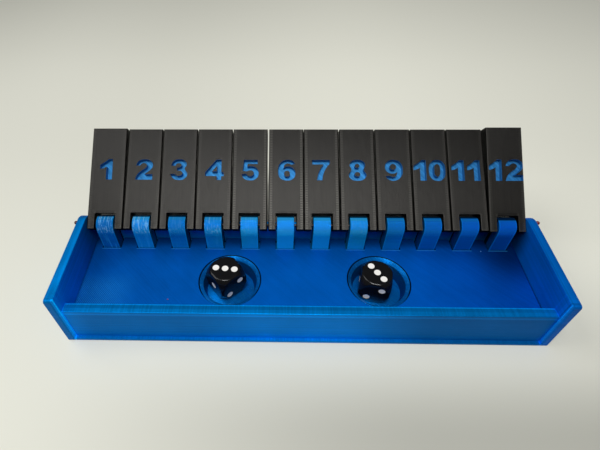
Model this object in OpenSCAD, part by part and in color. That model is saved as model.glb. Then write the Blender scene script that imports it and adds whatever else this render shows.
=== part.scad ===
// Shut the box: a tray with twelve number tiles hinged on one rod, and two dice.
// Millimetres, +Z up. Origin at the centre of the tray's underside, the open front towards -Y.

/* [Number tiles] */
// Width of one number tile
tile_w = 18.5; // [17.5:0.1:22]
// Thickness of a number tile
tile_t = 9.5; // [8.6:0.1:10.6]
// Gap between two neighbouring tiles
tile_gap = 1.0; // [0.5:0.1:2]
// Gap between an outer tile and the side wall
end_gap = 0.3; // [0.2:0.05:1.5]
// How far a tile's tip stays behind the front ends of the side walls
tip_setback = 0.8; // [0.4:0.1:1.6]
// Small bevel round the edges of a tile
tile_bevel = 0.4; // [0.2:0.1:0.8]

/* [Hinge] */
// Diameter of the hinge rod
pin_d = 1.75; // [1.5:0.05:2.4]
// Radial play of the tiles and posts on the rod
pin_play = 0.08; // [0.03:0.01:0.1]
// Distance from the rod's axis to the tray's back face
pin_from_back = 5.0; // [4.8:0.1:6]
// How far a tile's ears reach past the rod's axis
ear_reach = 3.1; // [2.8:0.1:3.4]
// Rounding of the ears' back corner
ear_round = 3.0; // [2.6:0.1:3.2]
// Radius of a post's round top, and half its thickness
post_r = 4.9; // [4.4:0.1:5.2]
// Width of a post along the rod
post_w = 9.3; // [8:0.1:10.5]
// Gap between a post and the ear on each side of it
ear_gap = 0.7; // [0.4:0.1:1]
// Gap between a post's round top and the end of the tile's slot
slot_end_gap = 0.7; // [0.4:0.1:1.2]
// How far an open tile leans, measured up from level
open_angle = 33; // [28:1:38]
// Extra lift of the first tile, which rubs on the left wall
first_tile_lift = 1.7; // [0:0.1:4]
// Extra lift of the last tile, which rubs on the right wall
last_tile_lift = 4.8; // [0:0.1:8]
// The tile that has slid along the rod, in the play beside its post
slid_tile = 6; // [1:1:12]
// How far that tile has slid to the right
tile_slide = 0.3; // [0:0.05:0.4]
// How far the rod's melted ends stand out of the side walls
pin_end_reach = 4.7; // [3.5:0.1:7]
// Radius of the rod's melted ends
pin_end_r = 1.05; // [1:0.05:1.6]

/* [Tray] */
// Depth of the tray from front to back
tray_d = 59.0; // [56:0.5:72]
// Height of the side walls
side_h = 35.6; // [34:0.1:44]
// Thickness of the side walls
side_t = 4.2; // [3:0.1:6]
// Rounding of the side walls' top back corner
side_back_r = 8.3; // [4:0.1:10]
// Rounding of the side walls' top front corner
side_front_r = 1.5; // [0.5:0.1:3]
// Height of the front wall
front_h = 24.2; // [22:0.1:26]
// Thickness of the front wall
front_t = 4.5; // [3:0.1:6]
// How far the front wall stands back from the side walls' ends
front_inset = 1.8; // [1:0.1:3]
// Width of the slope on the inner half of the front wall's top
front_slope_w = 2.2; // [0.5:0.1:2.6]
// Fall of that slope
front_slope_h = 0.4; // [0.2:0.1:1]
// Bevel down the inner edges of the side walls' front ends
end_bevel = 1.2; // [0.4:0.1:1.8]
// Thickness of the back wall
back_t = 2.5; // [2.2:0.1:2.8]
// Thickness of the base
base_t = 1.6; // [1:0.1:3]
// Width of the ledge that carries the floor plate
ledge_w = 2.5; // [1.5:0.1:3]

/* [Floor plate and dice cups] */
// Height of the playing floor above the table
floor_z = 15.2; // [13.5:0.1:17]
// Thickness of the floor plate
floor_t = 2.4; // [1.6:0.1:3]
// Distance of each cup's centre from the middle of the tray
cup_x = 39.0; // [30:0.5:60]
// Radius of a cup at the playing floor
cup_r = 16.4; // [15:0.1:16.8]
// Width of the bevelled rim inside a cup
cup_rim_w = 2.3; // [1:0.1:3]
// Height of the bevelled rim inside a cup
cup_rim_h = 1.9; // [1:0.1:2.2]
// Radius of a cup's floor
cup_floor_r = 12.6; // [11.6:0.1:13.5]
// Depth of a cup below the playing floor
cup_depth = 8.6; // [6:0.1:10]
// Thickness of a cup's floor
cup_floor_t = 2.4; // [1.5:0.1:3.5]
// Width of the shoulder round a cup, on which the plate lies
cup_shoulder = 1.2; // [0.8:0.1:1.6]

/* [Dice] */
// Edge length of a die
die_s = 16.0; // [14:0.1:16.6]
// Rounding along the edges of a die
die_edge_r = 1.2; // [0.5:0.1:2]
// Radius of the ball that cuts a die's corners
die_ball_r = 10.9; // [10.6:0.1:12]

/* [Fits] */
// Gap round a plate or insert that is dropped in
fit_gap = 0.15; // [0.05:0.05:0.4]
// Gap round the ears' swing
swing_gap = 0.3; // [0.2:0.05:0.6]
// Gap under the tiles where they come to rest
rest_gap = 0.1; // [0.05:0.05:0.3]

/* [Hidden] */

tile_count = 12;
past = 1;            // how far a cutting shape runs past the face it opens
knee = 0.06;         // how much the rod swells where its ends were bent
$fn = 96;

// across the tray
pitch = tile_w + tile_gap;
inner_w = tile_count * pitch - tile_gap + 2 * end_gap;
tray_w = inner_w + 2 * side_t;

// front to back
front_y = -tray_d / 2;
back_y = tray_d / 2;
front_wall_y = front_y + front_inset;
inner_front_y = front_wall_y + front_t;
inner_back_y = back_y - back_t;
pin_y = back_y - pin_from_back;
cup_y = (inner_front_y + pin_y - post_r) / 2;

// heights
plate_under_z = floor_z - floor_t;
pin_z = front_h + rest_gap + tile_t / 2;
cup_floor_z = floor_z - cup_depth;

// tiles
tile_tip = pin_y - front_y - tip_setback;
slot_w = post_w + 2 * ear_gap;
slot_end = post_r + slot_end_gap;
bore_r = pin_d / 2 + pin_play;
ear_swing = sqrt(ear_reach * ear_reach + tile_t * tile_t / 4);

// back wall: a low ledge that clears the swinging ears, and a lip that stops the open tiles
ledge_top_z = pin_z - ear_swing - swing_gap;
lip_y = pin_y + ear_reach + swing_gap;
notch_w = post_w + 4 * fit_gap;

// dice, turned as they were dropped into the cups
die_left_spot = [-2.1, 1.8];    // offset of the left die from its cup's centre
die_left_turn = 39.6;
die_right_spot = [-1.9, 0];
die_right_turn = -12.3;

function tile_x(i) = (i - (tile_count + 1) / 2) * pitch;
function tile_lean(i) = open_angle + (i == 1 ? first_tile_lift : 0) + (i == tile_count ? last_tile_lift : 0);
// height of the open tiles' underside at a distance y behind the middle
function rest_line(y) = pin_z + ((y - pin_y) * sin(open_angle) - tile_t / 2 - rest_gap) / cos(open_angle);

// turns a front-to-back profile drawn in (y, z) into a slab of width w, centred on x
module slab(x, w) {
    translate([x - w / 2, 0, 0]) rotate([90, 0, 90]) linear_extrude(w) children();
}

module span(y0, y1, z0, z1) {
    translate([y0, z0]) square([y1 - y0, z1 - z0]);
}

module side_profile() {
    difference() {
        span(front_y, back_y, 0, side_h);
        difference() {
            span(front_y - past, front_y + side_front_r, side_h - side_front_r, side_h + past);
            translate([front_y + side_front_r, side_h - side_front_r]) circle(side_front_r);
        }
        difference() {
            span(back_y - side_back_r, back_y + past, side_h - side_back_r, side_h + past);
            translate([back_y - side_back_r, side_h - side_back_r]) circle(side_back_r);
        }
    }
}

module front_wall_profile() {
    polygon([[front_wall_y, 0], [inner_front_y, 0], [inner_front_y, front_h - front_slope_h],
             [inner_front_y - front_slope_w, front_h], [front_wall_y, front_h]]);
}

module back_wall_profile() {
    polygon([[inner_back_y, 0], [back_y, 0], [back_y, rest_line(back_y)], [lip_y, rest_line(lip_y)],
             [lip_y, ledge_top_z], [inner_back_y, ledge_top_z]]);
}

module side_wall() {
    difference() {
        slab((tray_w - side_t) / 2, side_t) side_profile();
        translate([inner_w / 2, front_y, base_t]) linear_extrude(side_h)
            polygon([[-past, -past], [end_bevel + past, -past], [-past, end_bevel + past]]);
    }
}

module tray_shell() color("royalblue") {
    difference() {
        union() {
            side_wall();
            mirror([1, 0, 0]) side_wall();
            slab(0, inner_w + side_t) front_wall_profile();
            slab(0, inner_w + side_t) back_wall_profile();
            slab(0, inner_w + side_t) span(front_y, back_y, 0, base_t);
            // ledges that carry the floor plate along the front and the sides
            slab(0, inner_w + side_t) span(front_wall_y, inner_front_y + ledge_w, 0, plate_under_z);
            for (side = [-1, 1])
                slab(side * (inner_w - ledge_w) / 2, ledge_w + past)
                    span(front_wall_y, pin_y - post_r - fit_gap, 0, plate_under_z);
        }
        // gaps in the back lip for the posts
        for (i = [1 : tile_count])
            slab(tile_x(i), notch_w) span(inner_back_y - past, back_y + past, ledge_top_z, side_h);
        // room for the cups' shoulders in the ledges
        for (side = [-1, 1])
            translate([side * cup_x, cup_y, base_t]) cylinder(r = cup_r + cup_shoulder + fit_gap, h = plate_under_z);
        // the rod's holes through both side walls
        translate([-tray_w, pin_y, pin_z]) rotate([0, 90, 0]) cylinder(r = bore_r, h = 2 * tray_w);
    }
}

module floor_plate() color("royalblue") {
    difference() {
        slab(0, inner_w - 2 * fit_gap)
            span(inner_front_y + fit_gap, inner_back_y - fit_gap, plate_under_z, floor_z);
        for (i = [1 : tile_count])
            slab(tile_x(i), slot_w)
                span(pin_y - post_r - 2 * fit_gap, back_y, plate_under_z - past, floor_z + past);
        for (side = [-1, 1])
            translate([side * cup_x, cup_y, plate_under_z - past])
                cylinder(r = cup_r + fit_gap, h = floor_t + 2 * past);
    }
}

module dice_cup(x) color("royalblue") {
    translate([x, cup_y, 0]) rotate_extrude() polygon([
        [0, cup_floor_z], [cup_floor_r, cup_floor_z],
        [cup_r - cup_rim_w, floor_z - cup_rim_h], [cup_r - fit_gap, floor_z], [cup_r, floor_z],
        [cup_r, plate_under_z], [cup_r + cup_shoulder, plate_under_z], [cup_r + cup_shoulder, base_t],
        [cup_floor_r + cup_rim_w, base_t], [cup_floor_r + cup_rim_w, cup_floor_z - cup_floor_t],
        [0, cup_floor_z - cup_floor_t]]);
}

module post_profile() {
    span(pin_y - post_r, inner_back_y - fit_gap, plate_under_z, pin_z);
    translate([pin_y, pin_z]) circle(post_r);
}

module hinge_rail() color("dodgerblue") {
    difference() {
        union() {
            slab(0, inner_w - 2 * fit_gap)
                span(pin_y - post_r, inner_back_y - fit_gap, base_t, plate_under_z);
            for (i = [1 : tile_count]) slab(tile_x(i), post_w) post_profile();
        }
        translate([-tray_w, pin_y, pin_z]) rotate([0, 90, 0]) cylinder(r = bore_r, h = 2 * tray_w);
    }
}

// one melted end of the rod, bent by [y, z] as it leaves the wall
module pin_end(side, bend) {
    bend_x = side * (tray_w / 2 + pin_d / 2);
    tip_x = side * (tray_w / 2 + pin_end_reach);
    run = tip_x - bend_x;
    reach = norm([run, bend.x, bend.y]);
    translate([bend_x, pin_y, pin_z]) {
        sphere(r = pin_d / 2 + knee);
        rotate([0, acos(bend.y / reach), atan2(bend.x, run)]) cylinder(d = pin_d, h = reach);
        translate([run, bend.x, bend.y]) sphere(r = pin_end_r);
    }
}

module hinge_pin() color("firebrick") {
    rod_l = tray_w + pin_d;
    translate([-rod_l / 2, pin_y, pin_z]) rotate([0, 90, 0]) cylinder(d = pin_d, h = rod_l);
    pin_end(-1, [0.8, 0.1]);
    pin_end(1, [1.0, 1.8]);
}

// outline of a tile seen from its side: the rod's axis at the origin, the tip towards +Y, the number face up
module tile_side_profile() {
    half_t = tile_t / 2;
    bevel = tile_bevel;
    difference() {
        polygon([[-ear_reach, -half_t], [tile_tip - bevel, -half_t], [tile_tip, -half_t + bevel],
                 [tile_tip, half_t - bevel], [tile_tip - bevel, half_t], [-ear_reach, half_t]]);
        difference() {
            span(-ear_reach - past, ear_round - ear_reach, -half_t - past, ear_round - half_t);
            translate([ear_round - ear_reach, ear_round - half_t]) circle(ear_round);
        }
        circle(bore_r);
    }
}

// outline of a tile seen from its tip, with bevelled long edges
module tile_end_profile() {
    half_w = tile_w / 2;
    half_t = tile_t / 2;
    bevel = tile_bevel;
    polygon([[-half_w, bevel - half_t], [bevel - half_w, -half_t], [half_w - bevel, -half_t],
             [half_w, bevel - half_t], [half_w, half_t - bevel], [half_w - bevel, half_t],
             [bevel - half_w, half_t], [-half_w, half_t - bevel]]);
}

module number_tile(i) color("dimgray") {
    slide = i == slid_tile ? tile_slide : 0;
    translate([tile_x(i) + slide, pin_y, pin_z]) rotate([tile_lean(i), 0, 0]) difference() {
        intersection() {
            slab(0, tile_w) tile_side_profile();
            translate([0, tile_tip + past, 0]) rotate([90, 0, 0])
                linear_extrude(tile_tip + ear_reach + 2 * past) tile_end_profile();
        }
        slab(0, slot_w) span(-ear_reach - past, slot_end, -tile_t, tile_t);
    }
}

module rounded_square(s, r) {
    for (w = [0, r]) square([s - 2 * w, s - 2 * (r - w)], center = true);
    for (a = [-1, 1], b = [-1, 1]) translate([a, b] * (s / 2 - r)) circle(r);
}

module die(x, spot, turn) color("black") {
    translate([x + spot.x, cup_y + spot.y, cup_floor_z + die_s / 2]) rotate([0, 0, turn])
        intersection() {
            linear_extrude(die_s, center = true) rounded_square(die_s, die_edge_r);
            rotate([90, 0, 0]) linear_extrude(die_s, center = true) rounded_square(die_s, die_edge_r);
            rotate([0, 90, 0]) linear_extrude(die_s, center = true) rounded_square(die_s, die_edge_r);
            sphere(die_ball_r);
        }
}

tray_shell();
floor_plate();
dice_cup(-cup_x);  // dice_cup_left
dice_cup(cup_x);  // dice_cup_right
hinge_rail();
hinge_pin();
number_tile(1);  // tile_01
number_tile(2);  // tile_02
number_tile(3);  // tile_03
number_tile(4);  // tile_04
number_tile(5);  // tile_05
number_tile(6);  // tile_06
number_tile(7);  // tile_07
number_tile(8);  // tile_08
number_tile(9);  // tile_09
number_tile(10);  // tile_10
number_tile(11);  // tile_11
number_tile(12);  // tile_12
die(-cup_x, die_left_spot, die_left_turn);  // die_left
die(cup_x, die_right_spot, die_right_turn);  // die_right
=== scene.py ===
import math

import bmesh
import bpy
from mathutils import Matrix, Vector


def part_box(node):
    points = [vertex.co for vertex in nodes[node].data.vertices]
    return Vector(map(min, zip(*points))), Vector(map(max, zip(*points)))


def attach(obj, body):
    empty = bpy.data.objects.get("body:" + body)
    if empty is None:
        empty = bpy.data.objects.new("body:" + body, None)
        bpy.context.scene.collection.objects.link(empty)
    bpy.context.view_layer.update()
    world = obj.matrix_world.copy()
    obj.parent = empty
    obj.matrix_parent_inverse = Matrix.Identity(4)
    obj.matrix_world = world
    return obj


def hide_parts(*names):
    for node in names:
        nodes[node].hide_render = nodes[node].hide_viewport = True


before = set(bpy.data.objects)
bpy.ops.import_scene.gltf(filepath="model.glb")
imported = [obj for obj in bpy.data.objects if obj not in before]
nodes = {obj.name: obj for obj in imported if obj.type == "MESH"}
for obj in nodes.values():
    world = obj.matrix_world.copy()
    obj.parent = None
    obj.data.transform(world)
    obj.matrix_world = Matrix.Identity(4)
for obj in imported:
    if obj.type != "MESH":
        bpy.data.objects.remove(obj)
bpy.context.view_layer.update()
mm = 0.001
print("frame loaded:", len(nodes), "solids")

# where the part's source puts things, in mm and degrees
board = {
    "tileCount": 12,
    "tileHalf": 9.25,
    "pitch": 19.5,
    "pinY": 24.5,
    "pinZ": 29.05,
    "openAngle": 33.0,
    "firstLift": 1.7,
    "lastLift": 4.8,
    "slidTile": 6,
    "slide": 0.3,
    "cupX": 39.0,
    "cupY": -1.8,
    "cupFloorZ": 6.6,
    "floorZ": 15.2,
}


def tint(red, green, blue):  # screen colour 0..255 to the linear one a material takes
    steps = [v / 255 for v in (red, green, blue)]
    return tuple(v / 12.92 if v <= 0.04045 else ((v + 0.055) / 1.055) ** 2.4 for v in steps) + (1.0,)


# a number, colour or vector on its way through a node tree, so that sums are written as sums
class Flow:
    def __init__(self, tree, socket):
        self.tree, self.socket = tree, socket

    def __add__(self, other):
        return calc(self.tree, "ADD", self, other)

    def __sub__(self, other):
        return calc(self.tree, "SUBTRACT", self, other)

    def __rsub__(self, other):
        return calc(self.tree, "SUBTRACT", other, self)

    def __mul__(self, other):
        return calc(self.tree, "MULTIPLY", self, other)

    def __truediv__(self, other):
        return calc(self.tree, "DIVIDE", self, other)

    def __mod__(self, other):
        return calc(self.tree, "FLOORED_MODULO", self, other)

    def __pow__(self, other):
        return calc(self.tree, "POWER", self, other)

    def __gt__(self, other):
        return calc(self.tree, "GREATER_THAN", self, other)

    def __lt__(self, other):
        return calc(self.tree, "LESS_THAN", self, other)

    def __abs__(self):
        return calc(self.tree, "ABSOLUTE", self)


def plug(tree, source, socket):  # links a flow, or sets a plain value
    if isinstance(source, Flow):
        tree.links.new(source.socket, socket)
    else:
        socket.default_value = source


def addNode(tree, kind, inputs=None, **settings):
    node = tree.nodes.new(kind)
    for key, value in settings.items():
        setattr(node, key, value)
    for label, value in (inputs or {}).items():
        plug(tree, value, node.inputs[label])
    return node


def flowsFrom(tree, node):
    return {socket.name: Flow(tree, socket) for socket in node.outputs}


def newGroup(kind, name, takes, gives):
    tree = bpy.data.node_groups.new(name, kind)
    for label, socketKind, value in takes:
        socket = tree.interface.new_socket(label, in_out="INPUT", socket_type=socketKind)
        if value is not None:
            socket.default_value = value
    for label, socketKind in gives:
        tree.interface.new_socket(label, in_out="OUTPUT", socket_type=socketKind)
    entry = flowsFrom(tree, addNode(tree, "NodeGroupInput"))
    return tree, entry, addNode(tree, "NodeGroupOutput").inputs


def calc(tree, operation, *values):
    node = addNode(tree, "ShaderNodeMath", dict(enumerate(values)), operation=operation)
    return Flow(tree, node.outputs[0])


def blendValue(tree, share, low, high):
    node = addNode(tree, "ShaderNodeMix", {0: share, 2: low, 3: high}, data_type="FLOAT")
    return Flow(tree, node.outputs[0])


def blendColor(tree, share, low, high):
    node = addNode(tree, "ShaderNodeMix", {0: share, 6: low, 7: high}, data_type="RGBA")
    return Flow(tree, node.outputs[2])


def softStep(tree, value, low, high):  # 0 up to low, 1 from high on
    inputs = {"Value": value, "From Min": low, "From Max": high}
    node = addNode(tree, "ShaderNodeMapRange", inputs, interpolation_type="SMOOTHSTEP")
    return Flow(tree, node.outputs["Result"])


def noise(tree, vector, scale, detail=2.0, rough=0.5):
    inputs = {"Vector": vector, "Scale": scale, "Detail": detail, "Roughness": rough}
    return Flow(tree, addNode(tree, "ShaderNodeTexNoise", inputs).outputs["Fac"])


def stretched(tree, x, y, z):
    return Flow(tree, addNode(tree, "ShaderNodeCombineXYZ", {0: x, 1: y, 2: z}).outputs[0])


def splitVector(tree, vector):
    return [Flow(tree, s) for s in addNode(tree, "ShaderNodeSeparateXYZ", {0: vector}).outputs]


def chance(tree, value):  # one random number for each whole step
    node = addNode(tree, "ShaderNodeTexWhiteNoise", {"W": value}, noise_dimensions="1D")
    return Flow(tree, node.outputs["Value"])


def scaleColor(tree, color, by):
    node = addNode(tree, "ShaderNodeVectorMath", {0: color}, operation="SCALE")
    plug(tree, by, node.inputs["Scale"])
    return Flow(tree, node.outputs[0])


def readAttribute(tree, name, output="Fac"):
    return Flow(tree, addNode(tree, "ShaderNodeAttribute", attribute_name=name).outputs[output])


def readSpot(tree):  # where a point is, in mm, in the frame its piece was printed in
    return readAttribute(tree, "spot", "Vector")


def readPlace(tree):  # where a point is, in metres
    return Flow(tree, addNode(tree, "ShaderNodeTexCoord").outputs["Object"])


def newMaterial(name):
    material = bpy.data.materials.new(name)
    material.use_nodes = True
    return material, material.node_tree, material.node_tree.nodes["Principled BSDF"]


def addBump(tree, shader, height, ridge):  # ridge in mm
    bump = addNode(tree, "ShaderNodeBump", {"Height": height, "Distance": ridge * mm, "Strength": 1.0})
    plug(tree, Flow(tree, bump.outputs["Normal"]), shader.inputs["Normal"])


# how printed plastic looks: drawn lines on faces that look up, stacked layers on the rest
skinRule = {
    "up": (0.55, 0.75),  # upness at which the lines take over from the layers
    "roundness": 0.6,
    "meanWave": 0.75,
    "waveShare": 0.8,
    "streakHeight": 0.8,
    "sideStretch": (0.02, 0.02, 1.5),
    "topStretch": (0.14, 1.1),
    "streakDetail": 3.0,
    "streakRough": 0.65,
    "patchScale": 0.055,
    "darkest": 0.05,
}


def makePrintedSkin():
    number, color = "NodeSocketFloat", "NodeSocketColor"
    tree, entry, gives = newGroup(
        "ShaderNodeTree",
        "printedSkin",
        [
            ("Spot", "NodeSocketVector", None),
            ("Upness", number, 0.0),
            ("Color", color, (0.5, 0.5, 0.5, 1.0)),
            ("Line Width", number, 0.45),
            ("Line Angle", number, 0.785),
            ("Layer Height", number, 0.3),
            ("Line Contrast", number, 0.2),
            ("Layer Contrast", number, 0.2),
            ("Streaks", number, 0.3),
            ("Patches", number, 0.2),
        ],
        [("Color", color), ("Height", number)],
    )
    x, y, z = splitVector(tree, entry["Spot"])
    cosine, sine = (calc(tree, wave, entry["Line Angle"]) for wave in ("COSINE", "SINE"))
    across, along = x * sine + y * cosine, x * cosine - y * sine
    lineStep, layerStep = across / entry["Line Width"], z / entry["Layer Height"]
    up = softStep(tree, entry["Upness"], *skinRule["up"])

    def ridge(step):
        return calc(tree, "SINE", calc(tree, "FRACT", step) * math.pi) ** skinRule["roundness"]

    def streaks(vector):
        return noise(tree, vector, 1.0, skinRule["streakDetail"], skinRule["streakRough"])

    wave = blendValue(tree, up, ridge(layerStep), ridge(lineStep))
    single = blendValue(tree, up, *(chance(tree, calc(tree, "FLOOR", s)) for s in (layerStep, lineStep)))
    contrast = blendValue(tree, up, entry["Layer Contrast"], entry["Line Contrast"])
    side = stretched(tree, *(v * by for v, by in zip((x, y, z), skinRule["sideStretch"])))
    top = stretched(tree, *(v * by for v, by in zip((along, across), skinRule["topStretch"])), z)
    streak = blendValue(tree, up, streaks(side), streaks(top))
    patch = noise(tree, entry["Spot"], skinRule["patchScale"])
    shade = (single - 0.5) * contrast + 1.0
    shade = (wave - skinRule["meanWave"]) * (contrast * skinRule["waveShare"]) + shade
    shade = (streak - 0.5) * (entry["Streaks"] * 2) + shade
    shade = (patch - 0.5) * (entry["Patches"] * 2) + shade
    shade = calc(tree, "MAXIMUM", shade, skinRule["darkest"])
    plug(tree, scaleColor(tree, entry["Color"], shade), gives["Color"])
    plug(tree, wave + streak * skinRule["streakHeight"], gives["Height"])
    return tree


printedSkin = makePrintedSkin()


def startMaterial(name, look):  # Principled fed by one printedSkin group
    material, tree, shader = newMaterial(name)
    given = {"Spot": readSpot(tree), "Upness": readAttribute(tree, "upness"), "Color": look["color"]}
    group = addNode(tree, "ShaderNodeGroup", node_tree=printedSkin)
    for label, value in (given | look["skin"]).items():
        plug(tree, value, group.inputs[label])
    skin = flowsFrom(tree, group)
    addBump(tree, shader, skin["Height"], look["ridge"])
    plug(tree, skin["Color"], shader.inputs["Base Color"])
    shader.inputs["Roughness"].default_value = look["roughness"]
    shader.inputs["Metallic"].default_value = look["metal"]
    shader.inputs["Specular IOR Level"].default_value = look["gloss"]
    shader.inputs["Specular Tint"].default_value = look["glossTint"]
    return material, tree, skin["Color"], shader


# each print's look; ridge and Line Width are in mm, Line Angle in radians
trayLook = {
    "color": tint(0, 113, 188),
    "roughness": 0.42,
    "metal": 0.5,
    "gloss": 0.12,
    "glossTint": tint(40, 170, 255),
    "ridge": 0.05,
    "skin": {
        "Line Width": 0.62,
        "Line Angle": 1.5708,
        "Line Contrast": 0.2,
        "Layer Contrast": 0.22,
        "Streaks": 0.16,
        "Patches": 0.18,
    },
}
floorLook = {
    "color": tint(0, 90, 184),
    "roughness": 0.45,
    "metal": 0.3,
    "gloss": 0.12,
    "glossTint": tint(40, 150, 255),
    "ridge": 0.04,
    "skin": {"Line Contrast": 0.1, "Layer Contrast": 0.2, "Streaks": 0.12, "Patches": 0.2},
}
cupLook = {
    "color": tint(0, 102, 186),
    "roughness": 0.34,
    "metal": 0.5,
    "gloss": 0.3,
    "glossTint": tint(90, 200, 255),
    "ridge": 0.03,
    "skin": {"Line Contrast": 0.25, "Layer Contrast": 0.35, "Streaks": 0.3, "Patches": 0.2},
}
postLook = {
    "color": tint(0, 112, 196),
    "roughness": 0.28,
    "metal": 0.5,
    "gloss": 0.5,
    "glossTint": tint(40, 180, 255),
    "ridge": 0.03,
    "skin": {
        "Line Angle": 0.0,
        "Line Contrast": 0.1,
        "Layer Contrast": 0.16,
        "Streaks": 0.25,
        "Patches": 0.2,
    },
}
tileLook = {
    "color": tint(24, 23, 21),
    "roughness": 0.31,
    "metal": 0.0,
    "gloss": 0.182,
    "glossTint": tint(255, 252, 246),
    "ridge": 0.04,
    "skin": {
        "Line Width": 0.5,
        "Line Angle": 1.5708,
        "Line Contrast": 0.3,
        "Layer Contrast": 0.3,
        "Streaks": 0.3,
        "Patches": 0.15,
    },
}
pocketLook = {
    "color": tint(46, 117, 174),
    "roughness": 0.45,
    "metal": 0.2,
    "gloss": 0.3,
    "glossTint": tint(120, 200, 255),
    "ridge": 0.04,
    "skin": {
        "Line Width": 0.5,
        "Line Contrast": 0.45,
        "Layer Contrast": 0.3,
        "Streaks": 0.6,
        "Patches": 0.5,
    },
}

betweenSides = [("x", 117, 116), ("x", -117, -116)]
closeBetween = [("x", 117, 116.5), ("x", -117, -116.5)]
# painted light and shade over a print: each is the share of painted shade taken off (or of painted light
# added, below 0) and the ramps (axis, from, to in mm) that it comes in over, multiplied together where
# there are several
paintedShading = {
    "tray": [
        # painted light at the front left by the left side, painted shade at the back right under the
        # tiles, painted light on the middle of the front face and painted shade on its right part
        (-0.3, [("x", -104, -118), ("y", -2, -24)]),
        (0.65, [("y", 10, 22), ("x", 84, 112), ("x", 118, 117), ("z", 33, 28)]),
        (0.46, [("x", 12, 62), ("y", -26.8, -27.5)]),
        (-0.42, [("x", -80, 0), ("y", -26.8, -27.5)]),
        # painted highlight along the inner edge of the front
        (-1.1, [("y", -22.3, -22.5), ("y", -23.4, -23.2), ("z", 23, 23.6), *betweenSides]),
        # painted light on the top of the left side
        (-0.5, [("x", -116.9, -117.2), ("x", -120.8, -117.8), ("z", 35.2, 35.5), ("y", -24, -14)]),
        # painted light on the inner faces of the sides
        (-0.62, [("x", -117.1, -116.95), ("x", -116.4, -116.6), ("y", 20, -2)]),
        (-0.12, [("x", 117.1, 116.95), ("x", 116.4, 116.6)]),
        # painted light on the inner face of the back
        (-0.4, [("y", 26.6, 26.9), ("y", 27.6, 27.2), ("x", 30, -20)]),
        # painted shade on the front end of the left side
        (0.3, [("x", -116.8, -117.0), ("y", -18.0, -28.8)]),
        # painted highlights on the outer edge of the front, then on the top of its face
        (-0.14, [("y", -25.2, -25.6), ("y", -27.3, -27.1), ("z", 23, 23.6)]),
        (-0.4, [("y", -26.8, -27.5), ("z", 21.4, 21.9), ("z", 23.0, 22.6), *closeBetween]),
        # painted highlights along the inner front edges of the sides
        (-0.9, [("x", -117.8, -117.4), ("x", -116.5, -116.7), ("y", -27.6, -27.9)]),
        (-0.5, [("x", 117.7, 117.3), ("x", 116.5, 116.7), ("y", -27.6, -27.9)]),
    ],
    "floor": [
        # painted shade: darker at the right end, towards the right, near the posts, towards the left and
        # at the back under the tiles
        (0.74, [("x", 84, 112), ("y", -14, 16)]),
        (0.24, [("x", 60, 116)]),
        (0.22, [("y", 2, 20)]),
        (0.2, [("x", 0, -90)]),
        (0.5, [("y", 19, 24)]),
    ],
    # painted shade, darker towards the tile's top
    "tile": [(0.45, [("y", 12, 36)])],
    # painted shade where the rod runs hidden between the pieces, and at its left end
    "rod": [(0.94, [("x", -122, -118), ("x", 122, 118)]), (0.7, [("x", -118, -122)])],
    # painted light towards the back and a painted shadow at the front right of the floor
    "room": [
        (-0.12, [("x", -400, -200), ("y", 100, 270)]),
        (-0.22, [("x", -150, 100), ("y", -40, 40)]),
        (0.4, [("x", -160, 60), ("y", -25, -75)]),
    ],
}
# painted shade: the blue is painted deeper towards the right, where the pieces lie in shade; over which x,
# how much green goes and how much blue comes
paintedShadeBlue = {
    "tray": {"x": (114.5, 117.5), "green": 0.04, "blue": 0.3},
    "floor": {"x": (20, 110), "green": 0.18, "blue": 0.06},
    "post": {"x": (30, 107), "green": 0.0, "blue": 0.3},
}


def slowShade(tree, vector, shades):
    along = dict(zip("xyz", splitVector(tree, vector)))
    whole = 1.0
    for share, ramps in shades:
        part = share
        for axis, start, end in ramps:
            part = softStep(tree, along[axis], start, end) * part
        whole = (1.0 - part) * whole
    return whole


def deeperRight(tree, color, deeper):  # painted shade, the blue deepening towards the right; deeper is one of paintedShadeBlue
    right = softStep(tree, splitVector(tree, readSpot(tree))[0], *deeper["x"])
    by = stretched(tree, 1.0, 1.0 - right * deeper["green"], right * deeper["blue"] + 1.0)
    node = addNode(tree, "ShaderNodeVectorMath", {0: color, 1: by}, operation="MULTIPLY")
    return Flow(tree, node.outputs[0])


# a piece's colour with its painted shading, and its blue painted deeper to the right
def shadeSlowly(tree, color, piece):
    shade = slowShade(tree, readSpot(tree), paintedShading[piece])
    return deeperRight(tree, scaleColor(tree, color, shade), paintedShadeBlue[piece])


def makeTrayPrint():
    material, tree, color, shader = startMaterial("bluePrintTray", trayLook)
    plug(tree, shadeSlowly(tree, color, "tray"), shader.inputs["Base Color"])
    return material


trayPrint = makeTrayPrint()


# the floor's marks: a dotted field, painted highlights along the slots' front edges, the seam at the right
# and two specks of other filament, each at x, y with its size and colour
floorMarks = {
    "dots": {
        "pitch": 1.05,
        "edge": (0.2, 0.8),
        "x": (-84, -104),
        "y": (4, -8),
        "share": 0.85,
        "color": tint(44, 155, 228),
    },
    "slotHighlights": {"front": 18.7, "width": 0.22, "reach": 5.3, "share": 0.34, "color": tint(60, 165, 230)},
    "seam": {"from": 116.1, "share": 0.75, "color": tint(0, 22, 84)},
    "specks": [(-69.8, -14.3, 0.6, tint(150, 60, 40)), (97.9, 18.5, 0.6, tint(96, 150, 220))],
}


def fromPostMiddle(x):  # how far across a point is from the nearest post's middle
    return abs(x % board["pitch"] - board["pitch"] / 2)


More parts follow.
